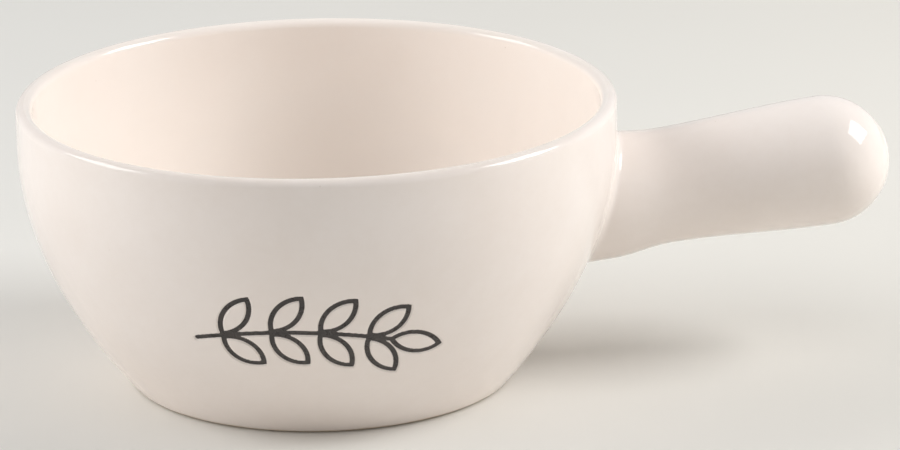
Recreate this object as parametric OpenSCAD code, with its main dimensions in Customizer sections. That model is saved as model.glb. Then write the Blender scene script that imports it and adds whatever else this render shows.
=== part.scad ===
// Handled soup mug of glazed stoneware: a wide round bowl with a short stick handle.
// The bowl stands on the table plane around +Z, and the handle points along +X.
// Each outline belongs to the finished surface, and each layer lies at a named depth below it.

/* [Bowl] */
// Width across the widest part of the bowl
bowl_d = 140; // [126:1:160]
// Height from the table to the top of the lip
bowl_h = 67.8; // [62:0.2:80]
// Height above the table at which the wall is widest
belly_h = 58.7; // [52:0.1:68]
// Width across the foot where the wall meets the table
foot_d = 89.2; // [80:0.2:100]
// Thickness of the wall
wall_t = 5; // [4:0.1:6.5]
// Thickness of the wall at the round lip
lip_t = 3.8; // [3:0.1:5]
// Length of wall over which the lip thins
lip_taper_h = 24; // [12:1:30]
// Height of the inside floor above the table
floor_h = 8; // [6.5:0.1:12]
// Radius between the inside floor and the wall
floor_fillet_r = 16; // [8:1:22]

/* [Foot] */
// Width of the bare ring that stands on the table
foot_ring_w = 5; // [3:0.1:8]
// Height of the hollow under the bowl, inside the ring
foot_hollow_h = 2.4; // [1.2:0.1:3.4]
// Radius at the outer edge of the foot
foot_edge_r = 0.5; // [0.3:0.1:1.2]
// Height of bare clay between the table and the glaze
bare_foot_h = 0.3; // [0.2:0.1:2]

/* [Handle] */
// Distance from the bowl's axis to the tip of the handle
handle_reach = 135.4; // [124:0.2:155]
// Height at which the handle's axis crosses the bowl's axis
handle_axis_h = 32.1; // [29:0.1:35]
// Rise of the handle's axis above level, in degrees
handle_rise = 6.5; // [2:0.1:10]
// Thickness of the handle where it meets the bowl
handle_root_d = 30.2; // [27:0.1:33]
// Thickness of the handle at its narrowest
handle_neck_d = 27.3; // [24:0.1:30]
// Thickness of the handle near its round end
handle_butt_d = 30.6; // [27:0.1:34]
// Distance from the joint to the narrowest place
handle_neck_l = 14; // [10:1:24]
// Thickness of the wall of the hollow handle
handle_wall_t = 5.2; // [4:0.1:7]
// Width of the vent hole under the handle
vent_d = 3; // [2:0.1:4]
// Distance along the handle from the joint to the vent hole
vent_l = 20; // [15:1:30]

/* [Joint] */
// Thickness of the slip that joins the handle to the bowl
slip_t = 0.8; // [0.5:0.1:1.5]
// Height of the slip fillet out from the bowl
slip_fillet_h = 3.2; // [2:0.1:6]
// Width of the slip fillet around the handle
slip_fillet_w = 1.3; // [0.5:0.1:3]

/* [Glaze] */
// Thickness of the glaze
glaze_t = 0.4; // [0.3:0.05:0.6]

/* [Sprig] */
// Width of a drawn line
line_w = 1.1; // [0.8:0.1:2]
// Depth of a drawn line below the glaze surface
line_d = 0.8; // [0.6:0.05:1.5]
// Depth of the top of the dark stain below the glaze surface
stain_d = 0.25; // [0.1:0.05:0.5]
// Height of the middle of the sprig above the table
sprig_h = 31; // [28:0.5:35]
// Turn of the sprig around the bowl, in degrees from square to the handle
sprig_turn = -5; // [-15:1:15]
// Length of the sprig's stem
stem_l = 44; // [36:1:50]
// Rise of the stem's bow over its length
stem_bow = 3; // [2:0.5:6]
// Length of a leaf
leaf_l = 12.5; // [9:0.5:15]
// Width of a leaf
leaf_w = 6.4; // [5:0.2:8]
// Pairs of leaves along the stem
leaf_pairs = 4; // [2:1:5]
// Angle between a leaf and the stem, in degrees
leaf_angle = 48; // [35:1:60]

/* [Hidden] */

// Steps along a curved outline, and the smoothness of round shapes
wall_steps = 14;
arc_steps = 8;
handle_steps = 12;
$fn = 96;
// Steps of a sum that closes in on its answer
settle_steps = 6;
// Overrun of every cut past the face that it opens
cut = 1;

clay = [0.86, 0.80, 0.72];
slip_clay = [0.90, 0.85, 0.78];
ivory = [0.96, 0.93, 0.89];
warm_ivory = [0.97, 0.92, 0.86];
charcoal = [0.20, 0.19, 0.18];

belly_r = bowl_d / 2;
foot_r = foot_d / 2;
lip_r = lip_t / 2;
root_r = handle_root_d / 2;
neck_r = handle_neck_d / 2;
butt_r = handle_butt_d / 2;

function ease(share) = let (s = max(0, min(1, share))) s * s * (3 - 2 * s);
function backwards(points) = [for (i = [len(points) - 1 : -1 : 0]) points[i]];
function arc(middle, r, from, to) =
    [for (i = [0 : arc_steps])
        let (angle = from + (to - from) * i / arc_steps) middle + r * [cos(angle), sin(angle)]];

// The outer wall swells from the foot to the belly as a parabola, then runs straight up.
function below_belly(z) = max(0, 1 - z / belly_h);
function outer_r(z) = belly_r - (belly_r - foot_r) * pow(below_belly(z), 2);
// Lean of the outer wall from upright at a height
function lean(z) = atan(2 * (belly_r - foot_r) * below_belly(z) / belly_h);
// The point that lies at a depth under the outer surface, square to it
function wall_point(z, depth) = [outer_r(z) - depth * cos(lean(z)), z + depth * sin(lean(z))];
// Height on the outer surface from which a depth leads to a target height
function seat(target, depth, z, left) =
    left < 1 ? z : seat(target, depth, target - depth * sin(lean(z)), left - 1);

// The round of the lip, of the inside corner and of the foot's edge
lip_z = seat(bowl_h - lip_r, lip_r, bowl_h - lip_r, settle_steps);
lip_middle = wall_point(lip_z, lip_r);
corner_z = seat(floor_h + floor_fillet_r, wall_t + floor_fillet_r, floor_h, settle_steps);
corner_middle = wall_point(corner_z, wall_t + floor_fillet_r);
edge_z = seat(foot_edge_r, glaze_t + foot_edge_r, 0, settle_steps);
edge_middle = wall_point(edge_z, glaze_t + foot_edge_r);
hollow_r = edge_middle[0] - foot_ring_w;

// Thickness of the wall at a height, thinner towards the lip
function thickness(z) = wall_t + (lip_t - wall_t) * ease((z - lip_z + lip_taper_h) / lip_taper_h);

// Heights that every layer of the outer wall shares, from the glaze's lower edge to the lip
wall_heights = [for (i = [0 : wall_steps]) bare_foot_h + (lip_z - bare_foot_h) * i / wall_steps];
function outer_line(depth) = [for (z = wall_heights) wall_point(z, depth)];
// The inner surface at a distance into the clay, from the lip down to the middle of the floor
function inner_line(into) = concat(
    [for (i = [0 : wall_steps])
        let (z = lip_z + (corner_z - lip_z) * i / wall_steps) wall_point(z, thickness(z) - into)],
    arc(corner_middle, floor_fillet_r + into, -lean(corner_z), -90),
    [[0, floor_h - into]]);
// The lip's outer and inner half at a distance into the clay
function lip_outside(into) = arc(lip_middle, lip_r - into, -lean(lip_z), 90);
function lip_inside(into) = arc(lip_middle, lip_r - into, 90, 180 - lean(lip_z));

module revolve(outline) {
    rotate_extrude() polygon(outline);
}

// The room inside the outer surface at a depth, as a tool for cuts
module bowl_block(depth) {
    top = bowl_h + cut;
    edge = outer_line(depth);
    revolve(concat([[0, -cut], [foot_r - depth, -cut], wall_point(0, depth)], edge,
                   [[edge[wall_steps][0], top], [0, top]]));
}

// Where the handle's axis meets the outer wall
function meets_wall(z, left) =
    left < 1 ? z : meets_wall(handle_axis_h + outer_r(z) * tan(handle_rise), left - 1);
joint_z = meets_wall(handle_axis_h, settle_steps);
joint_l = outer_r(joint_z) / cos(handle_rise);
handle_start = joint_l - root_r;
neck_at = joint_l + handle_neck_l;
butt_at = (handle_reach - butt_r) / cos(handle_rise);

// Radius of the handle at a distance along its axis
function handle_r(along) = along < neck_at
    ? neck_r + (root_r - neck_r) * ease((neck_at - along) / handle_neck_l)
    : neck_r + (butt_r - neck_r) * ease((along - neck_at) / (butt_at - neck_at));

module at_handle() {
    translate([0, 0, handle_axis_h]) rotate([0, 90 - handle_rise, 0]) children();
}

module at_joint() {
    translate([outer_r(joint_z), 0, joint_z]) rotate([0, 90 + lean(joint_z), 0]) children();
}

// The handle's body at a depth under its surface, with a round end
module handle_block(depth) {
    side = [for (i = [0 : handle_steps])
        let (along = joint_l + (butt_at - joint_l) * i / handle_steps) [handle_r(along) - depth, along]];
    at_handle()
        revolve(concat([[0, handle_start], [root_r - depth, handle_start]], side,
                       arc([0, butt_at], butt_r - depth, 0, 90)));
}

// The slip fillet's body at a depth under its surface
module fillet_block(depth) {
    wide_r = root_r / cos(handle_rise + lean(joint_z)) + slip_fillet_w - depth;
    narrow_r = root_r - slip_fillet_w / 2 - depth;
    at_joint() {
        cylinder(h = slip_fillet_h - depth, r1 = wide_r, r2 = narrow_r);
        translate([0, 0, -root_r / 2]) cylinder(h = root_r / 2, r = wide_r);
    }
}

module leaf_shape(inset) {
    bend_r = (pow(leaf_l / 2, 2) + pow(leaf_w / 2, 2)) / leaf_w;
    intersection_for (side = [-1, 1])
        translate([leaf_l / 2, side * (bend_r - leaf_w / 2)]) circle(r = bend_r - inset);
}

module leaf_line() {
    difference() {
        leaf_shape(0);
        leaf_shape(line_w);
    }
}

// A bowed stem with an outlined leaf at its tip and pairs of leaves along it
module sprig_lines() {
    bow_r = (pow(stem_l / 2, 2) + pow(stem_bow, 2)) / (2 * stem_bow);
    half_sweep = asin(stem_l / 2 / bow_r);
    stem_r = bow_r - line_w / 2;
    translate([-leaf_l / 2, -bow_r]) {
        intersection() {
            difference() {
                circle(r = bow_r);
                circle(r = bow_r - line_w);
            }
            translate([-stem_l / 2, 0]) square([stem_l, bow_r + cut]);
        }
        rotate(half_sweep) translate([0, stem_r]) circle(d = line_w);
        rotate(-half_sweep) translate([-line_w / 2, stem_r]) leaf_line();
        for (pair = [0 : leaf_pairs - 1]) {
            sweep = half_sweep * (1 - 2 * (pair + 0.5) / leaf_pairs);
            for (side = [-1, 1])
                rotate(sweep) translate([0, stem_r]) rotate(side * leaf_angle) leaf_line();
        }
    }
}

module sprig_block() {
    rotate([0, 0, sprig_turn]) translate([0, 0, sprig_h]) rotate([90, 0, 0])
        linear_extrude(height = belly_r + cut) sprig_lines();
}

module bowl_casting() {
    color(clay) difference() {
        revolve(concat([[0, foot_hollow_h + glaze_t], [hollow_r, foot_hollow_h + glaze_t], [hollow_r, 0]],
                       arc(edge_middle, foot_edge_r, -90, -lean(edge_z)), outer_line(glaze_t),
                       lip_outside(glaze_t), lip_inside(glaze_t), inner_line(glaze_t)));
        difference() {
            sprig_block();
            bowl_block(line_d);
        }
    }
}

module handle_casting() {
    color(clay) difference() {
        handle_block(glaze_t);
        handle_block(handle_wall_t);
        bowl_block(glaze_t - slip_t);
        vent();
    }
}

module vent() {
    at_handle() translate([0, 0, joint_l + vent_l]) rotate([0, 90, 0])
        cylinder(h = root_r + cut, d = vent_d);
}

module handle_slip_joint() {
    color(slip_clay) difference() {
        union() {
            fillet_block(glaze_t);
            intersection() {
                handle_block(glaze_t);
                bowl_block(glaze_t - slip_t);
            }
        }
        bowl_block(glaze_t);
        difference() {
            handle_block(glaze_t);
            bowl_block(glaze_t - slip_t);
        }
        handle_block(handle_wall_t);
    }
}

module inner_glaze() {
    color(warm_ivory)
        revolve(concat(lip_inside(0), inner_line(0),
                       backwards(concat(lip_inside(glaze_t), inner_line(glaze_t)))));
}

module outer_glaze() {
    color(ivory) difference() {
        revolve(concat(outer_line(0), lip_outside(0),
                       backwards(concat(outer_line(glaze_t), lip_outside(glaze_t)))));
        sprig_block();
        handle_block(0);
        fillet_block(0);
    }
}

module handle_glaze() {
    color(ivory) difference() {
        union() {
            handle_block(0);
            fillet_block(0);
        }
        handle_block(glaze_t);
        fillet_block(glaze_t);
        bowl_block(glaze_t);
        vent();
    }
}

module foot_glaze() {
    color(ivory) translate([0, 0, foot_hollow_h]) cylinder(h = glaze_t, r = hollow_r);
}

module line_stain() {
    color(charcoal) difference() {
        intersection() {
            sprig_block();
            bowl_block(stain_d);
        }
        bowl_block(line_d);
    }
}

bowl_casting();
handle_casting();
handle_slip_joint();
inner_glaze();
outer_glaze();
handle_glaze();
foot_glaze();
line_stain();
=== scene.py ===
"""Looks of the handled soup mug. Lengths in the geometry part are millimetres, and the meshes are metres."""

import math

import bpy
import numpy as np
from mathutils import Matrix, Vector


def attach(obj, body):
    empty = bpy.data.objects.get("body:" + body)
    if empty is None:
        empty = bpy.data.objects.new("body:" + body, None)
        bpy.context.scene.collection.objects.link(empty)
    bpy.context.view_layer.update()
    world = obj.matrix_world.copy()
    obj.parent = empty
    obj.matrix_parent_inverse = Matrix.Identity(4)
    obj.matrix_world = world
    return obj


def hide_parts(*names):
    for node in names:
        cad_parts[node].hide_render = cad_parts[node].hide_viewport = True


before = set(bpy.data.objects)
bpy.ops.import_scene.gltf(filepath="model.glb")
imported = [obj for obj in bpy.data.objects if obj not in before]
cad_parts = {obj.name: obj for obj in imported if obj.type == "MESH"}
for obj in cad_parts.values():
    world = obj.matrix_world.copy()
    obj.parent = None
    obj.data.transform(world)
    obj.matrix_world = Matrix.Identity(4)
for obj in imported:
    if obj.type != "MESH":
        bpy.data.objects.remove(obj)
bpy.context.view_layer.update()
MM = 0.001

# Sizes of the CAD model
BELLY_R, BELLY_H, FOOT_R, BOWL_H = 70.0, 58.7, 44.6, 67.8
WALL_T, LIP_T, LIP_TAPER_H = 5.0, 3.8, 24.0
FLOOR_H, FLOOR_FILLET_R = 8.0, 16.0
BARE_FOOT_H, GLAZE_T = 0.3, 0.4
REACH, AXIS_H, RISE = 135.4, 32.1, math.radians(6.5)
ROOT_R, NECK_R, BUTT_R, NECK_L = 15.1, 13.65, 15.3, 14.0
VENT_R, VENT_L = 1.5, 20.0
LINE_W, LINE_D, STAIN_D = 1.1, 0.8, 0.25
SPRIG_H, SPRIG_TURN = 31.0, math.radians(-5)
STEM_L, STEM_BOW, LEAF_L, LEAF_W, LEAF_PAIRS, LEAF_ANGLE = 44.0, 3.0, 12.5, 6.4, 4, math.radians(48)
LIP_R = LIP_T / 2

# Sizes of the finish that only show from close up. The fillet runs this far onto the bowl under and over the handle
# and more at its sides, and this far onto the handle past its bend.
FILLET_LOW, FILLET_TOP, FILLET_SIDE, FILLET_ALONG = 1.9, 2.2, 1.7, 2.0
# The glaze's bead at the bare foot, the rounded edge of the vent, and half the width of a groove's softened edge
BEAD_H, VENT_EDGE, GROOVE_SOFT = 0.3, 0.45, 0.2
# The unevenness of the bowl, the dip of the rim's sides, and the drift of the handle along x, y and z
WAVE, SADDLE, DRIFT = 0.07, 0.33, (0.06, 0.10, 0.08)

# Thickness of the sheets that carry the looks. The coat keeps clear of the clay under it.
COAT_T, SLIP_T, STAIN_T = GLAZE_T * 0.97, 0.8, 0.5
# How far the stain's sheet lies under the stain's surface, how far it sinks along the middle of a line and over which
# distance from the line's edge, and how far it runs past the edge, under the glaze
STAIN_UNDER, STAIN_SINK, STAIN_SINK_OVER, STAIN_PAST = 0.08, 0.04, 0.5, 0.18

# The mesh: columns around the bowl, rows up its wall, and fine steps in each where the sprig is
COLUMNS, WALL_ROWS, FINE = 192, 30, 9
BEAD_ROWS, CREST_ROWS, INNER_ROWS, CORNER_ROWS, FLOOR_ROWS = 5, 12, 26, 14, 12
FILLET_ROWS, NECK_ROWS, GRIP_ROWS, BUTT_ROWS = 11, 8, 23, 14
VENT_ROWS, VENT_COLUMNS, VENT_EDGE_ROWS = 4, 7, 6

# Steps in which a place is worked out on the curved wall, and in which a crossing is halved
SETTLE_STEPS, BEND_STEPS, HALVINGS = 20, 10, 40
# What sprig_line gives for a place that is far from every line
FAR = -9.0


def ease(share):
    s = np.clip(share, 0, 1)
    return s * s * (3 - 2 * s)


def below_belly(z):
    return np.maximum(0, 1 - z / BELLY_H)


def outer_r(z):
    return BELLY_R - (BELLY_R - FOOT_R) * below_belly(z) ** 2


def lean(z):
    return np.arctan(2 * (BELLY_R - FOOT_R) * below_belly(z) / BELLY_H)


def wall_point(z, depth):
    return np.array([outer_r(z) - depth * np.cos(lean(z)), z + depth * np.sin(lean(z))])


def seat(target, depth):
    """Height on the outer wall whose point at a depth lies at the target height."""
    z = target
    for _ in range(SETTLE_STEPS):
        z = target - depth * math.sin(lean(z))
    return z


LIP_Z = seat(BOWL_H - LIP_R, LIP_R)
LIP_MIDDLE = wall_point(LIP_Z, LIP_R)
CORNER_Z = seat(FLOOR_H + FLOOR_FILLET_R, WALL_T + FLOOR_FILLET_R)
CORNER_MIDDLE = wall_point(CORNER_Z, WALL_T + FLOOR_FILLET_R)


def thickness(z):
    return WALL_T + (LIP_T - WALL_T) * ease((z - LIP_Z + LIP_TAPER_H) / LIP_TAPER_H)


def arc(middle, r, start, end, steps):
    angles = np.linspace(start, end, steps + 1)
    return [middle + r * np.array([math.cos(a), math.sin(a)]) for a in angles]


# The handle, along its axis
joint_z = AXIS_H
for _ in range(SETTLE_STEPS):
    joint_z = AXIS_H + outer_r(joint_z) * math.tan(RISE)
JOINT_L = float(outer_r(joint_z)) / math.cos(RISE)
NECK_AT = JOINT_L + NECK_L
BUTT_AT = (REACH - BUTT_R) / math.cos(RISE)
AXIS = np.array([math.cos(RISE), 0, math.sin(RISE)])
SIDE = np.array([0.0, 1.0, 0.0])
UP = np.array([-math.sin(RISE), 0, math.cos(RISE)])
ORIGIN = np.array([0.0, 0.0, AXIS_H])
# Distances along the handle that lie inside and outside the bowl for every line on it
INSIDE_BOWL, OUTSIDE_BOWL = 40.0, 90.0


def handle_r(along):
    near = NECK_R + (ROOT_R - NECK_R) * ease((NECK_AT - along) / NECK_L)
    far = NECK_R + (BUTT_R - NECK_R) * ease((along - NECK_AT) / (BUTT_AT - NECK_AT))
    return np.where(along < NECK_AT, near, far)


def handle_point(along, psi, extra=0.0):
    """A point on the handle's surface, or extra outside it. psi turns from +Y towards up."""
    along, psi = np.broadcast_arrays(np.asarray(along, float), np.asarray(psi, float))
    r = handle_r(along) + extra
    return (ORIGIN + along[..., None] * AXIS + (r * np.cos(psi))[..., None] * SIDE
            + (r * np.sin(psi))[..., None] * UP)


def meets_bowl(psi, extra=0.0):
    """Distance along the handle at which its line at psi comes out of the bowl."""
    low, high = np.full(len(psi), INSIDE_BOWL), np.full(len(psi), OUTSIDE_BOWL)
    for _ in range(HALVINGS):
        mid = (low + high) / 2
        p = handle_point(mid, psi, extra)
        outside = np.hypot(p[:, 0], p[:, 1]) > outer_r(p[:, 2])
        low, high = np.where(outside, low, mid), np.where(outside, mid, high)
    return (low + high) / 2


def sprig_line(x, y, z):
    """How far inside a drawn line of the sprig a point lies, with the line's edge at 0."""
    u = x * math.cos(SPRIG_TURN) + y * math.sin(SPRIG_TURN)
    v = z - SPRIG_H
    bow_r = ((STEM_L / 2) ** 2 + STEM_BOW ** 2) / (2 * STEM_BOW)
    half_sweep = math.asin(STEM_L / 2 / bow_r)
    stem_r = bow_r - LINE_W / 2
    bend_r = ((LEAF_L / 2) ** 2 + (LEAF_W / 2) ** 2) / LEAF_W
    px, py = u + LEAF_L / 2, v + bow_r
    sweep = np.arctan2(px, py)
    inside = LINE_W / 2 - np.abs(np.hypot(px, py) - stem_r)
    best = np.where(np.abs(sweep) <= half_sweep, inside, FAR)
    ex, ey = -stem_r * math.sin(half_sweep), stem_r * math.cos(half_sweep)
    best = np.maximum(best, LINE_W / 2 - np.hypot(px - ex, py - ey))

    def leaf(turn, angle, best, overlap=0.0):
        """Adds an outlined leaf that starts on the stem at a turn and leans from it by an angle."""
        c, s = math.cos(-turn), math.sin(-turn)
        qx, qy = px * c - py * s + overlap, px * s + py * c - stem_r
        c, s = math.cos(-angle), math.sin(-angle)
        qx, qy = qx * c - qy * s, qx * s + qy * c
        off = bend_r - LEAF_W / 2
        edge = np.maximum(np.hypot(qx - LEAF_L / 2, qy - off), np.hypot(qx - LEAF_L / 2, qy + off))
        return np.maximum(best, LINE_W / 2 - np.abs(edge - (bend_r - LINE_W / 2)))

    best = leaf(-half_sweep, 0, best, LINE_W / 2)
    for pair in range(LEAF_PAIRS):
        turn = half_sweep * (1 - 2 * (pair + 0.5) / LEAF_PAIRS)
        for side in (-1, 1):
            best = leaf(turn, side * LEAF_ANGLE, best)
    return best


# Where the unevenness acts, as a start and a width each: out from the axis, along x from bowl to handle, and up to
# the rim. The rim doesn't dip around the front.
FROM_AXIS, TO_HANDLE, TO_RIM = (0, 20), (66, 12), (34, 30)
FRONT_TURN, FRONT_WIDE = math.radians(-95), 0.75
# The waves of the bowl: size, rounds about the axis, and turns along z and y per bowl radius, and a start
BOWL_WAVES = ((1.0, 2, 0.0, 0, 0.6), (0.6, 3, 2.4, 0, 1.7), (0.5, 0, 4.1, 5, 0.4))
# The waves of the handle along y and z: length, and a start
HANDLE_WAVE_Y, HANDLE_WAVE_Z = (13.0, 0.7), (17.0, 2.0)


def wave(points):
    """The slight unevenness of a cast and glazed piece. It keeps every point inside the plain form's box."""
    x, y, z = points.T / BELLY_R
    turn = np.arctan2(y, x)
    total = sum(size * np.sin(rounds * turn + with_z * z + with_y * y + start)
                for size, rounds, with_z, with_y, start in BOWL_WAVES)
    inwards = WAVE * (total / sum(row[0] for row in BOWL_WAVES) - 1) / 2
    wide = ease((np.hypot(points[:, 0], points[:, 1]) - FROM_AXIS[0]) / FROM_AXIS[1])
    beyond = ease((points[:, 0] - TO_HANDLE[0]) / TO_HANDLE[1])
    on_bowl = wide * (1 - beyond)
    front = np.exp(-((turn - FRONT_TURN) / FRONT_WIDE) ** 2)
    dip = SADDLE * (1 - front) * ease((points[:, 2] - TO_RIM[0]) / TO_RIM[1])
    out_r = np.maximum(np.hypot(x, y), 1e-6)
    out = points.copy()
    out[:, 0] += inwards * on_bowl * x / out_r - beyond * DRIFT[0]
    out[:, 1] += inwards * on_bowl * y / out_r
    out[:, 1] += beyond * DRIFT[1] * np.sin(points[:, 0] / HANDLE_WAVE_Y[0] + HANDLE_WAVE_Y[1])
    out[:, 2] += beyond * DRIFT[2] * np.sin(points[:, 0] / HANDLE_WAVE_Z[0] + HANDLE_WAVE_Z[1]) - dip * on_bowl
    return out


class Surface:
    """A growing mesh of points in millimetres and faces with outward order."""

    def __init__(self):
        self.points, self.faces, self.tags, self.count = [], [], [], 0

    def add(self, points):
        points = np.asarray(points, float).reshape(-1, 3)
        self.points.append(points)
        self.count += len(points)
        return list(range(self.count - len(points), self.count))

    def face(self, corners, tag):
        clean = [c for n, c in enumerate(corners) if c != corners[n - 1]]
        if len(clean) > 2:
            self.faces.append(tuple(clean))
            self.tags.append(tag)

    def rings(self, rings, tag):
        """Joins closed rings of the same length, each further along than the last."""
        for a, b in zip(rings, rings[1:]):
            for k in range(len(a)):
                m = (k + 1) % len(a)
                self.face((a[k], a[m], b[m], b[k]), tag)

    def all_points(self):
        return np.concatenate(self.points)


def face_normals(points, faces):
    """Normals, with their lengths in proportion to the faces' areas."""
    out = np.zeros((len(faces), 3))
    by_size = {}
    for n, f in enumerate(faces):
        by_size.setdefault(len(f), []).append(n)
    for size, which in by_size.items():
        corners = points[np.array([faces[n] for n in which])]
        total = np.zeros((len(which), 3))
        for k in range(1, size - 1):
            total += np.cross(corners[:, k] - corners[:, 0], corners[:, k + 1] - corners[:, 0])
        out[which] = total
    return out


def point_normals(points, faces):
    normals, of_faces = np.zeros_like(points), face_normals(points, faces)
    lengths = np.array([len(f) for f in faces])
    np.add.at(normals, np.concatenate([np.array(f) for f in faces]), np.repeat(of_faces, lengths, axis=0))
    return normals / np.maximum(np.linalg.norm(normals, axis=1, keepdims=True), 1e-12)


def make_piece(name, points, normals, faces, depth, material):
    """A closed sheet: the given faces, the same faces at a depth under them, and walls along the open borders."""
    used = sorted({c for f in faces for c in f})
    index = {c: n for n, c in enumerate(used)}
    top, normal, n = points[used], normals[used], len(used)
    upper = [tuple(index[c] for c in f) for f in faces]
    vertices = np.concatenate([top, top - normal * depth])
    lower = [tuple(c + n for c in reversed(f)) for f in upper]
    edges = dict.fromkeys((f[k - 1], c) for f in upper for k, c in enumerate(f))
    walls = [(b, a, a + n, b + n) for a, b in edges if (b, a) not in edges]
    loops = [normal[np.concatenate([np.array(f) for f in upper])],
             -normal[np.concatenate([np.array(f) for f in lower]) - n]]
    if walls:
        flat = face_normals(vertices, walls)
        flat /= np.maximum(np.linalg.norm(flat, axis=1, keepdims=True), 1e-12)
        loops.append(np.repeat(flat, 4, axis=0))
    mesh = bpy.data.meshes.new(name)
    mesh.from_pydata((vertices * MM).tolist(), [], upper + lower + walls)
    mesh.polygons.foreach_set("use_smooth", [True] * len(mesh.polygons))
    mesh.normals_split_custom_set(np.concatenate(loops).tolist())
    mesh.update()
    piece = bpy.data.objects.new(name, mesh)
    bpy.context.scene.collection.objects.link(piece)
    mesh.materials.append(material)
    return piece


# Materials
def srgb(r, g, b):
    def linear(c):
        c /= 255
        return c / 12.92 if c <= 0.04045 else ((c + 0.055) / 1.055) ** 2.4
    return (linear(r), linear(g), linear(b), 1.0)


class Material:
    """A material with small helpers for procedural detail in object coordinates."""

    def __init__(self, name, **values):
        self.made = bpy.data.materials.new(name)
        self.made.use_nodes = True
        self.tree = self.made.node_tree
        self.tree.nodes.clear()
        self.shader = self.tree.nodes.new("ShaderNodeBsdfPrincipled")
        output = self.tree.nodes.new("ShaderNodeOutputMaterial")
        self.tree.links.new(self.shader.outputs[0], output.inputs["Surface"])
        self.place = self.tree.nodes.new("ShaderNodeTexCoord").outputs["Object"]
        for key, value in values.items():
            self.shader.inputs[key.replace("_", " ")].default_value = value

    def node(self, kind, **values):
        node = self.tree.nodes.new(kind)
        for key, value in values.items():
            setattr(node, key, value)
        return node

    def link(self, source, target):
        self.tree.links.new(source, target)

    def noise(self, scale, detail=2.0, roughness=0.5):
        node = self.node("ShaderNodeTexNoise")
        node.inputs["Scale"].default_value = scale
        node.inputs["Detail"].default_value = detail
        node.inputs["Roughness"].default_value = roughness
        self.link(self.place, node.inputs["Vector"])
        return node.outputs["Fac"]

    def cells(self, scale):
        node = self.node("ShaderNodeTexVoronoi")
        node.inputs["Scale"].default_value = scale
        self.link(self.place, node.inputs["Vector"])
        return node.outputs["Distance"]

    def spread(self, value, low, high, to_low=0.0, to_high=1.0, smooth=False):
        """Takes the range from low to high to the range from to_low to to_high, and stops at its ends."""
        node = self.node("ShaderNodeMapRange")
        if smooth:
            node.interpolation_type = "SMOOTHSTEP"
        self.link(value, node.inputs["Value"])
        for key, number in (("From Min", low), ("From Max", high), ("To Min", to_low), ("To Max", to_high)):
            node.inputs[key].default_value = number
        return node.outputs["Result"]

    def maths(self, operation, a, b):
        node = self.node("ShaderNodeMath", operation=operation)
        for n, value in enumerate((a, b)):
            if isinstance(value, (int, float)):
                node.inputs[n].default_value = value
            else:
                self.link(value, node.inputs[n])
        return node.outputs[0]

    def blend(self, share, a, b):
        node = self.node("ShaderNodeMix", data_type="RGBA")
        self.link(share, node.inputs["Factor"])
        for key, value in ((6, a), (7, b)):
            if isinstance(value, tuple):
                node.inputs[key].default_value = value
            else:
                self.link(value, node.inputs[key])
        return node.outputs[2]

    def along(self, axis):
        node = self.node("ShaderNodeSeparateXYZ")
        self.link(self.place, node.inputs[0])
        return node.outputs[axis]

    def colour(self, value):
        self.link(value, self.shader.inputs["Base Color"])

    def rough(self, value):
        self.link(value, self.shader.inputs["Roughness"])

    def bump(self, *layers):
        """Each layer is (height, strength, distance in metres)."""
        normal = None
        for height, strength, distance in layers:
            node = self.node("ShaderNodeBump")
            node.inputs["Strength"].default_value = strength
            node.inputs["Distance"].default_value = distance
            self.link(height, node.inputs["Height"])
            if normal is not None:
                self.link(normal, node.inputs["Normal"])
            normal = node.outputs["Normal"]
        self.link(normal, self.shader.inputs["Normal"])


# Heights in metres over which the glaze changes: thin towards the crest and towards the bare foot, and, inside,
# warmer towards the floor of the bowl, which is painted warm shade of the deep hollow
CREST, AT_FOOT, PAINTED_SHADE_Z = (0.0666, 0.0679), (0.0012, 0.0005), (0.062, 0.030)
CREST_SHARE, PAINTED_SHADE_SHARE, SPECK_SHARE = 0.2, 0.7, 0.55
BODY_SHOWING, IRON = srgb(230, 214, 196), srgb(176, 150, 124)


def glaze_material(name, pale, deep, painted_warm_shade=None):
    """Glossy off-white glaze: soft drift of tone, thinner and warmer on sharp edges, and faint unevenness."""
    m = Material(name, IOR=1.5, Specular_IOR_Level=0.5)
    drift = m.spread(m.noise(28, 3, 0.55), 0.3, 0.7)
    fine = m.spread(m.noise(420, 3, 0.6), 0.25, 0.75)
    tone = m.maths("ADD", m.maths("MULTIPLY", drift, 0.75), m.maths("MULTIPLY", fine, 0.25))
    base = m.blend(tone, deep, pale)
    # The coat runs thin on the lip's crest and at its lower edge
    z = m.along("Z")
    # Inside the bowl the colour turns warmer towards its floor: painted warm shade of the deep hollow, not the glaze's
    # own colour
    if painted_warm_shade:
        base = m.blend(m.spread(z, *PAINTED_SHADE_Z, 0, PAINTED_SHADE_SHARE), base, painted_warm_shade)
    crest = m.spread(z, *CREST, smooth=True)
    foot = m.spread(z, *AT_FOOT, smooth=True)
    patchy = m.spread(m.noise(160, 3, 0.6), 0.35, 0.65, 0.25, 1.0)
    thin = m.maths("MULTIPLY", m.maths("MAXIMUM", m.maths("MULTIPLY", crest, CREST_SHARE), foot), patchy)
    base = m.blend(thin, base, BODY_SHOWING)
    # A few tiny specks of iron in the body show through
    speck = m.maths("MULTIPLY", m.spread(m.cells(330), 0.055, 0.025, smooth=True),
                    m.spread(m.noise(90, 1), 0.62, 0.70))
    base = m.blend(m.maths("MULTIPLY", speck, SPECK_SHARE), base, IRON)
    m.colour(base)
    m.rough(m.spread(m.noise(70, 4, 0.6), 0.3, 0.7, 0.06, 0.12))
    m.bump((m.noise(110, 2, 0.4), 0.12, 0.0006), (m.noise(900, 2, 0.5), 0.05, 0.0001))
    return m.made


outer_mat = glaze_material("glaze_outer", srgb(248, 239, 233), srgb(242, 231, 223))
# The inner glaze's third colour is painted warm shade towards the bowl's floor
inner_mat = glaze_material("glaze_inner", srgb(252, 244, 237), srgb(250, 240, 232), srgb(252, 242, 233))


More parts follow.
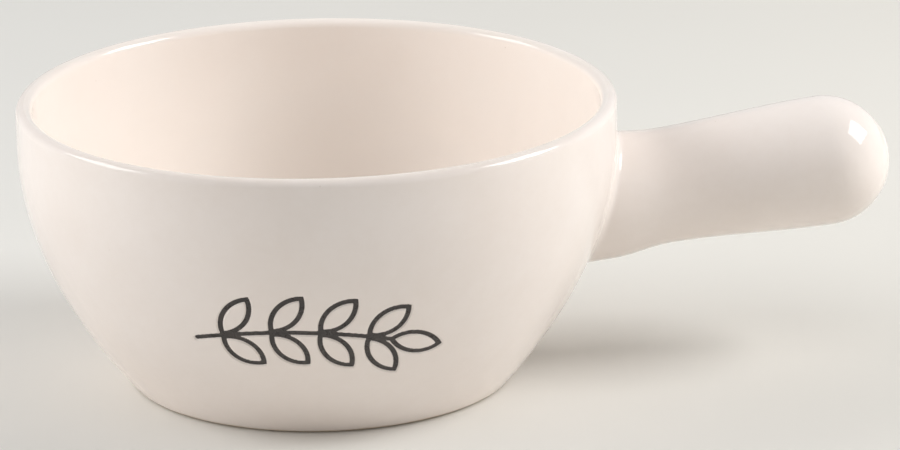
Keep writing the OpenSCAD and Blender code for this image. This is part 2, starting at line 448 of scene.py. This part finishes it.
def clay_material(name, pale, deep):
    """Matt fired clay with coarse grain and small dark spots."""
    m = Material(name, IOR=1.45)
    grain = m.noise(1500, 4, 0.7)
    base = m.blend(m.spread(m.noise(60, 3, 0.6), 0.3, 0.7), deep, pale)
    base = m.blend(m.spread(grain, 0.62, 0.74, 0, 0.5), base, srgb(168, 140, 112))
    base = m.blend(m.spread(m.cells(700), 0.10, 0.04, 0, 0.35), base, srgb(120, 98, 80))
    m.colour(base)
    m.rough(m.spread(grain, 0.3, 0.7, 0.72, 0.92))
    m.bump((m.noise(260, 2, 0.5), 0.3, 0.0003), (grain, 0.55, 0.00012))
    return m.made


clay_mat = clay_material("clay_bare", srgb(224, 209, 189), srgb(209, 190, 166))
slip_mat = clay_material("slip_joint", srgb(230, 217, 199), srgb(218, 202, 181))


def stain_material():
    """Charcoal stain, pooled unevenly and worn in spots."""
    m = Material("stain_charcoal", IOR=1.5)
    pool = m.spread(m.noise(300, 4, 0.65), 0.3, 0.7)
    base = m.blend(pool, srgb(44, 40, 39), srgb(66, 60, 57))
    worn = m.maths("MULTIPLY", m.spread(m.noise(700, 3, 0.6), 0.66, 0.76), 0.5)
    base = m.blend(worn, base, srgb(128, 118, 110))
    m.colour(base)
    m.rough(m.spread(m.noise(500, 3, 0.6), 0.3, 0.7, 0.22, 0.38))
    m.bump((m.noise(600, 3, 0.5), 0.35, 0.0002),)
    return m.made


stain_mat = stain_material()

# The glaze surface: the wall from its lower edge to the crest, then down inside to the floor's middle
coat = Surface()
heights = np.linspace(BARE_FOOT_H + BEAD_H, LIP_Z, WALL_ROWS + 1)
# Windows in the wall's grid, in whole columns and rows: the sprig's is finer, and the joint's is left open
sprig_columns, sprig_rows = (-66, -35), (7, 21)
joint_columns, joint_rows = (-11, 11), (7, 28)
# No line of the sprig lies further round from its middle than this, in radians
SPRIG_HALF_TURN = 0.6
all_columns = range(-COLUMNS // 2, COLUMNS // 2)


def wall_vertex(fine_i, fine_j):
    """Height, turn, distance inside a line and groove depth at a place in the fine grid."""
    z = np.interp(np.asarray(fine_i) / FINE, np.arange(WALL_ROWS + 1), heights)
    turn = 2 * math.pi * np.asarray(fine_j) / (COLUMNS * FINE)
    r = outer_r(z)
    line = sprig_line(r * np.cos(turn), r * np.sin(turn), z)
    from_front = np.abs((turn - (SPRIG_TURN - math.pi / 2) + math.pi) % (2 * math.pi) - math.pi)
    line = np.where(from_front < SPRIG_HALF_TURN, line, FAR)
    depth = LINE_D * ease((line + GROOVE_SOFT) / (2 * GROOVE_SOFT))
    return z, turn, line, depth


def place_wall(z, turn, depth):
    """Points at a depth under the outer wall."""
    r, h = wall_point(z, depth)
    return np.stack([r * np.cos(turn), r * np.sin(turn), h], axis=-1)


keys = [(i * FINE, j * FINE) for i in range(WALL_ROWS + 1) for j in all_columns
        if not (joint_rows[0] < i < joint_rows[1] and joint_columns[0] < j < joint_columns[1])]
fine_cells = set()
for i in range(*sprig_rows):
    for j in range(*sprig_columns):
        a, b = np.meshgrid(range(i * FINE, (i + 1) * FINE + 1), range(j * FINE, (j + 1) * FINE + 1))
        if wall_vertex(a, b)[2].max() > -2 * GROOVE_SOFT:
            fine_cells.add((i, j))
fine_keys = {(a, b) for i, j in fine_cells for a in range(i * FINE, (i + 1) * FINE + 1)
             for b in range(j * FINE, (j + 1) * FINE + 1)}
keys += sorted(k for k in fine_keys if k[0] % FINE or k[1] % FINE)
key_i, key_j = np.array(keys).T
z, turn, line, depth = wall_vertex(key_i, key_j)
wall_ids = coat.add(place_wall(z, turn, depth))
vertex = dict(zip(keys, wall_ids))
wall_z_turn = dict(zip(wall_ids, zip(z, turn)))


def at(i, j):
    """Vertex at a fine place, with the columns closed round the bowl."""
    j = (j + COLUMNS * FINE // 2) % (COLUMNS * FINE) - COLUMNS * FINE // 2
    return vertex[(i, j)]


def edge_ids(a, b):
    """Vertices from a fine place up to, but without, another along one grid line."""
    di, dj = np.sign(b[0] - a[0]), np.sign(b[1] - a[1])
    steps = max(abs(b[0] - a[0]), abs(b[1] - a[1]))
    out = [at(*a)]
    for k in range(1, steps):
        i, j = a[0] + di * k, a[1] + dj * k
        if (i, j) in vertex:
            out.append(vertex[(i, j)])
    return out


for i in range(WALL_ROWS):
    for j in all_columns:
        if joint_rows[0] <= i < joint_rows[1] and joint_columns[0] <= j < joint_columns[1]:
            continue
        if (i, j) in fine_cells:
            for a in range(i * FINE, (i + 1) * FINE):
                for b in range(j * FINE, (j + 1) * FINE):
                    coat.face((at(a, b), at(a, b + 1), at(a + 1, b + 1), at(a + 1, b)), "outside")
            continue
        low, high, first, second = i * FINE, (i + 1) * FINE, j * FINE, (j + 1) * FINE
        a, b, c, d = (low, first), (low, second), (high, second), (high, first)
        coat.face(edge_ids(a, b) + edge_ids(b, c) + edge_ids(c, d) + edge_ids(d, a), "outside")

# The rows below and above the wall
coarse_turns = 2 * math.pi * np.array(all_columns) / COLUMNS


def lathe(profile):
    """Adds a ring of vertices round the axis at each point of a profile."""
    return [coat.add(np.stack([r * np.cos(coarse_turns), r * np.sin(coarse_turns), np.full(COLUMNS, h)], axis=-1))
            for r, h in profile]


lowest = [at(0, j * FINE) for j in all_columns]
highest = [at(WALL_ROWS * FINE, j * FINE) for j in all_columns]
bead = [wall_point(BARE_FOOT_H + BEAD_H * (1 - math.cos(a)), GLAZE_T * (1 - math.sin(a)))
        for a in np.linspace(0, math.pi / 2, BEAD_ROWS + 1)[:-1]]
coat.rings(lathe(bead) + [lowest], "outside")
crest_out = lathe(arc(LIP_MIDDLE, LIP_R, -lean(LIP_Z), math.pi / 2, CREST_ROWS)[1:])
coat.rings([highest] + crest_out, "outside")
down = arc(LIP_MIDDLE, LIP_R, math.pi / 2, math.pi - lean(LIP_Z), CREST_ROWS)[1:]
down += [wall_point(zz, thickness(zz)) for zz in np.linspace(LIP_Z, CORNER_Z, INNER_ROWS + 1)[1:]]
down += arc(CORNER_MIDDLE, FLOOR_FILLET_R, -lean(CORNER_Z), -math.pi / 2, CORNER_ROWS)[1:]
down += [np.array([r, FLOOR_H]) for r in np.linspace(CORNER_MIDDLE[0], 0, FLOOR_ROWS + 2)[1:-1]]
inside_rings = lathe(down)
coat.rings([crest_out[-1]] + inside_rings, "inside")
middle = coat.add([[0, 0, FLOOR_H]])[0]
last = inside_rings[-1]
for k in range(COLUMNS):
    coat.face((last[k], last[(k + 1) % COLUMNS], middle), "inside")

# The joint's window has its middle a little over the joint's centre, and the bowl has this radius there
WINDOW_UP, WINDOW_R = 0.2, 67.3
# How the rows share the way from the window's border to the fillet
WALL_SHARES = (0.16, 0.32, 0.48, 0.63, 0.77, 0.89)
# The rings between which the joining slip lies under the glaze
SLIP_RINGS = (5, 20)

# The joint: from the border of its window in the wall to the fillet, then out along the handle. psi is the turn of
# each line round the handle, from +Y towards up.
i0, i1 = joint_rows
j0, j1 = joint_columns
border = [(i, j1) for i in range(i0, i1)] + [(i1, j) for j in range(j1, j0, -1)]
border += [(i, j0) for i in range(i1, i0, -1)] + [(i0, j) for j in range(j0, j1)]
border_ids = [at(i * FINE, j * FINE) for i, j in border]
border_z = np.array([wall_z_turn[n][0] for n in border_ids])
border_turn = np.array([wall_z_turn[n][1] for n in border_ids])
border_turn = (border_turn + math.pi) % (2 * math.pi) - math.pi
centre_z = float(joint_z) + WINDOW_UP
psi = np.unwrap(np.arctan2(border_z - centre_z, WINDOW_R * border_turn))

fillet = FILLET_LOW + (FILLET_TOP - FILLET_LOW) * ease((1 + np.sin(psi)) / 2) + FILLET_SIDE * np.cos(psi) ** 2
ring_b = handle_point(meets_bowl(psi, fillet), psi, fillet)
b_z, b_turn = ring_b[:, 2], np.arctan2(ring_b[:, 1], ring_b[:, 0])
tilt = lean(b_z)
wall_normal = np.stack([np.cos(tilt) * np.cos(b_turn), np.cos(tilt) * np.sin(b_turn), -np.sin(tilt)], axis=-1)
# The fillet bends at the place on the handle that the wall's tangent plane passes through
bend_at = meets_bowl(psi)
for _ in range(BEND_STEPS):
    off = ((handle_point(bend_at, psi) - ring_b) * wall_normal).sum(axis=1)
    bend_at = bend_at - off / (wall_normal @ AXIS)
bend = handle_point(bend_at, psi)
a_at = bend_at + FILLET_ALONG
ring_a = handle_point(a_at, psi)
rings = [border_ids]
for share in WALL_SHARES:
    zz, tt = border_z + (b_z - border_z) * share, border_turn + (b_turn - border_turn) * share
    rings.append(coat.add(place_wall(zz, tt, 0)))
rings.append(coat.add(place_wall(b_z, b_turn, 0)))
for share in np.linspace(0, 1, FILLET_ROWS + 1)[1:]:
    rings.append(coat.add(ring_b * (1 - share) ** 2 + bend * 2 * share * (1 - share) + ring_a * share ** 2))
for share in np.linspace(0, 1, NECK_ROWS + 1)[1:]:
    rings.append(coat.add(handle_point(a_at + (NECK_AT - a_at) * share, psi)))
neck_ring = len(rings) - 1
grip_along = np.linspace(NECK_AT, BUTT_AT, GRIP_ROWS + 1)
for along in grip_along[1:]:
    rings.append(coat.add(handle_point(along, psi)))
for angle in np.linspace(0, math.pi / 2, BUTT_ROWS + 1)[1:-1]:
    along = BUTT_AT + BUTT_R * math.sin(angle)
    rings.append(coat.add(ORIGIN + along * AXIS + BUTT_R * math.cos(angle) * (
        np.cos(psi)[:, None] * SIDE + np.sin(psi)[:, None] * UP)))

# The vent's window in the handle's grid
vent_at = JOINT_L + VENT_L
first_row = neck_ring + int(np.argmin(np.abs(grip_along - vent_at))) - VENT_ROWS // 2
last_row = first_row + VENT_ROWS
down_psi = (psi + math.pi / 2 + math.pi) % (2 * math.pi) - math.pi
near_vent = np.argsort(np.abs(down_psi))[:VENT_COLUMNS]
k_from, k_to = int(near_vent.min()), int(near_vent.max())
collar = []
for r, (a, b) in enumerate(zip(rings, rings[1:])):
    for k in range(len(psi)):
        m = (k + 1) % len(psi)
        if first_row <= r < last_row and k_from <= k < k_to:
            continue
        coat.face((a[k], a[m], b[m], b[k]), "outside")
        if SLIP_RINGS[0] <= r < SLIP_RINGS[1]:
            collar.append((a[k], a[m], b[m], b[k]))
tip = coat.add([ORIGIN + (BUTT_AT + BUTT_R) * AXIS])[0]
last = rings[-1]
for k in range(len(psi)):
    coat.face((last[k], last[(k + 1) % len(psi)], tip), "outside")

vent_border = [(first_row, k) for k in range(k_from, k_to)]
vent_border += [(r, k_to) for r in range(first_row, last_row)]
vent_border += [(last_row, k) for k in range(k_to, k_from, -1)]
vent_border += [(r, k_from) for r in range(last_row, first_row, -1)]
vent_ids = [rings[r][k] for r, k in vent_border]
vent_r = float(handle_r(np.array(vent_at)))
# The border laid flat around the vent: across and along the handle
flat = np.array([[down_psi[k] * vent_r, grip_along[r - neck_ring] - vent_at] for r, k in vent_border])
angle = np.arctan2(flat[:, 1], flat[:, 0])


def under_handle(along, side, depth):
    """Adds points at a depth under the handle's lower side."""
    r = handle_r(along)
    height = np.sqrt(r * r - side * side) - depth
    return coat.add(ORIGIN + along[:, None] * AXIS + side[:, None] * SIDE - height[:, None] * UP)


def vent_ring(radius, depth):
    """A ring round the vent's middle."""
    return under_handle(vent_at + radius * np.sin(angle), radius * np.cos(angle), depth)


def vent_between(share, radius):
    """A ring that lies on the handle, a share of the way from the window's border to the vent."""
    x = flat * (1 - share) + share * radius * np.stack([np.cos(angle), np.sin(angle)], axis=-1)
    return under_handle(vent_at + x[:, 1], vent_r * np.sin(x[:, 0] / vent_r), 0)


VENT_SHARES = (0.35, 0.65, 0.85)
vent_rings = [vent_ids] + [vent_between(s, VENT_R + VENT_EDGE) for s in VENT_SHARES]
for a in np.linspace(0, math.pi / 2, VENT_EDGE_ROWS):
    vent_rings.append(vent_ring(VENT_R + VENT_EDGE * (1 - math.sin(a)), VENT_EDGE * (1 - math.cos(a))))
coat.rings(vent_rings, "outside")

points = wave(coat.all_points())
normals = point_normals(points, coat.faces)
outside = [f for f, t in zip(coat.faces, coat.tags) if t == "outside"]
inside = [f for f, t in zip(coat.faces, coat.tags) if t == "inside"]
glaze_outside = make_piece("glaze_outside", points, normals, outside, COAT_T, outer_mat)
glaze_inside = make_piece("glaze_inside", points, normals, inside, COAT_T, inner_mat)
slip = make_piece("slip_collar", points - normals * GLAZE_T, normals, collar, SLIP_T, slip_mat)

# The stain: a sheet that lies in the grooves, hidden by the glaze beyond their edges
stain = Surface()
stain_keys = sorted(fine_keys)
z, turn, line, depth = wall_vertex(*np.array(stain_keys).T)
sink = STAIN_SINK * ease(line / STAIN_SINK_OVER)
number = dict(zip(stain_keys, stain.add(place_wall(z, turn, STAIN_D + STAIN_UNDER + sink))))
near_line = dict(zip(stain_keys, line > -STAIN_PAST))
for i, j in stain_keys:
    corners = ((i, j), (i, j + 1), (i + 1, j + 1), (i + 1, j))
    if (i // FINE, j // FINE) in fine_cells and any(near_line[c] for c in corners):
        stain.face([number[c] for c in corners], "stain")
stain_points = wave(stain.all_points())
stain_normals = point_normals(stain_points, stain.faces)
sprig = make_piece("sprig_stain", stain_points, stain_normals, stain.faces, STAIN_T, stain_mat)

for piece, nodes, slot in ((glaze_outside, ("outer_glaze", "handle_glaze"), "outer_glaze"),
                           (glaze_inside, ("inner_glaze",), "inner_glaze"),
                           (slip, ("handle_slip_joint",), "slip"),
                           (sprig, ("line_stain",), "stain")):
    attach(piece, "root")
    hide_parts(*nodes)

for node, material in (("bowl_casting", clay_mat), ("handle_casting", clay_mat), ("foot_glaze", outer_mat)):
    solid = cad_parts[node]
    if not solid.material_slots:
        solid.data.materials.append(material)
    for material_slot in solid.material_slots:
        material_slot.material = material

# The stage: a wide sheet of pale paper. Its change from cooler on the left to warmer on the right is a painted colour
# cast: it stands in for cooler light on the left and warmer light and shade on the right, not for the paper's own
# colour
FLOOR_HALF, COOL_TO_WARM = 3, (-0.2, 0.2)
floor_mesh = bpy.data.meshes.new("floor")
floor_mesh.from_pydata([(-FLOOR_HALF, -FLOOR_HALF, 0), (FLOOR_HALF, -FLOOR_HALF, 0),
                        (FLOOR_HALF, FLOOR_HALF, 0), (-FLOOR_HALF, FLOOR_HALF, 0)], [], [(0, 1, 2, 3)])
floor = bpy.data.objects.new("floor", floor_mesh)
bpy.context.scene.collection.objects.link(floor)
floor_mat = Material("floor_paper", Roughness=0.9, Specular_IOR_Level=0.2)
drift = floor_mat.spread(floor_mat.noise(3, 3, 0.5), 0.3, 0.7)
# Painted colour cast across the floor: cooler light on the left, warmer light and shade on the right
across = floor_mat.spread(floor_mat.along("X"), *COOL_TO_WARM)
cool = floor_mat.blend(drift, srgb(228, 227, 223), srgb(231, 230, 227))
painted_warm_side = floor_mat.blend(drift, srgb(229, 226, 219), srgb(233, 230, 223))
floor_mat.colour(floor_mat.blend(across, cool, painted_warm_side))
floor_mat.bump((floor_mat.noise(900, 3, 0.6), 0.1, 0.0001),)
floor_mesh.materials.append(floor_mat.made)

# The camera. It looks past the target, so that the target lies off the middle of the view, and it is rolled a little.
# Places in the view and the focal length are in pixels, and the rest is in metres.
VIEW_WIDE, VIEW_HIGH = 900, 450
TARGET_SEEN_AT = (319.2, 217.3)
SENSOR_WIDE = 36.0
target = Vector((0, 0, 0.0377))
azimuth, elevation, distance = math.radians(-5), math.radians(17.304), 1.291
roll = math.radians(-1.324)
back = Vector((math.sin(azimuth) * math.cos(elevation), -math.cos(azimuth) * math.cos(elevation),
               math.sin(elevation)))
look = (-back).to_track_quat("-Z", "Y").to_matrix()
look = look @ Matrix.Rotation(roll, 3, "Z")
focal = 5505.0
seen = Vector((TARGET_SEEN_AT[0] - VIEW_WIDE / 2, VIEW_HIGH / 2 - TARGET_SEEN_AT[1], -focal)).normalized()
look = look @ seen.rotation_difference(Vector((0, 0, -1))).to_matrix()
camera_data = bpy.data.cameras.new("camera")
camera_data.sensor_fit = "HORIZONTAL"
camera_data.sensor_width = SENSOR_WIDE
camera_data.lens = SENSOR_WIDE * focal / VIEW_WIDE
camera_data.clip_start, camera_data.clip_end = 0.05, 20
camera = bpy.data.objects.new("camera", camera_data)
camera.matrix_world = Matrix.Translation(target + back * distance) @ look.to_4x4()
bpy.context.scene.collection.objects.link(camera)
bpy.context.scene.camera = camera

# The light: a softbox on each side, which the glaze mirrors, five wide fill lamps, which it doesn't, and a pale room
view_right = Vector((math.cos(azimuth), math.sin(azimuth), 0))
view_away = Vector((-math.sin(azimuth), math.cos(azimuth), 0))


def softbox(name, right, away, up, power, wide, tall, mirrored=True):
    """A lamp that faces the target, from metres right of it, away from the camera and up. Power is in watts. Its light
    falls on everything, and mirrored says whether the glaze shows it."""
    data = bpy.data.lights.new(name, "AREA")
    data.shape = "RECTANGLE"
    data.size, data.size_y = wide, tall
    data.energy = power
    lamp = bpy.data.objects.new(name, data)
    place = target + view_right * right + view_away * away + Vector((0, 0, up))
    facing = (target - place).to_track_quat("-Z", "Y").to_matrix().to_4x4()
    lamp.matrix_world = Matrix.Translation(place) @ facing
    lamp.visible_glossy = mirrored
    bpy.context.scene.collection.objects.link(lamp)


softbox("softbox_left", -0.715, 0.100, 0.525, 2.5, 0.46, 0.35)
softbox("softbox_right", 0.721, 0.020, 0.525, 4.6, 0.42, 0.35)
softbox("fill_left", -1.25, 0.0, 0.358, 9.4, 1.6, 0.9, False)
softbox("fill_right", 1.25, 0.0, 0.358, 5.0, 1.6, 0.9, False)
softbox("fill_low", 0.0, -1.3, 0.12, 0.7, 1.6, 0.3, False)
softbox("fill_front", 0.0, -0.6, 1.15, 1.6, 1.2, 1.0, False)
softbox("fill_back", 0.0, 1.1, 0.75, 2.0, 1.6, 0.9, False)

# The camera and the glaze's reflections see a pale room, and its light on the mug is dim
ROOM_LIGHT, ROOM_SEEN = 0.2, 0.7
world = bpy.data.worlds.new("room")
world.use_nodes = True
bpy.context.scene.world = world
room = world.node_tree
background = room.nodes["Background"]
background.inputs["Color"].default_value = (1, 1, 1, 1)
rays = room.nodes.new("ShaderNodeLightPath")
seen_ray = room.nodes.new("ShaderNodeMath")
seen_ray.operation = "MAXIMUM"
room.links.new(rays.outputs["Is Camera Ray"], seen_ray.inputs[0])
room.links.new(rays.outputs["Is Glossy Ray"], seen_ray.inputs[1])
strength = room.nodes.new("ShaderNodeMapRange")
room.links.new(seen_ray.outputs[0], strength.inputs["Value"])
strength.inputs["To Min"].default_value = ROOM_LIGHT
strength.inputs["To Max"].default_value = ROOM_SEEN
room.links.new(strength.outputs["Result"], background.inputs["Strength"])
bpy.context.scene.view_settings.view_transform = "Standard"
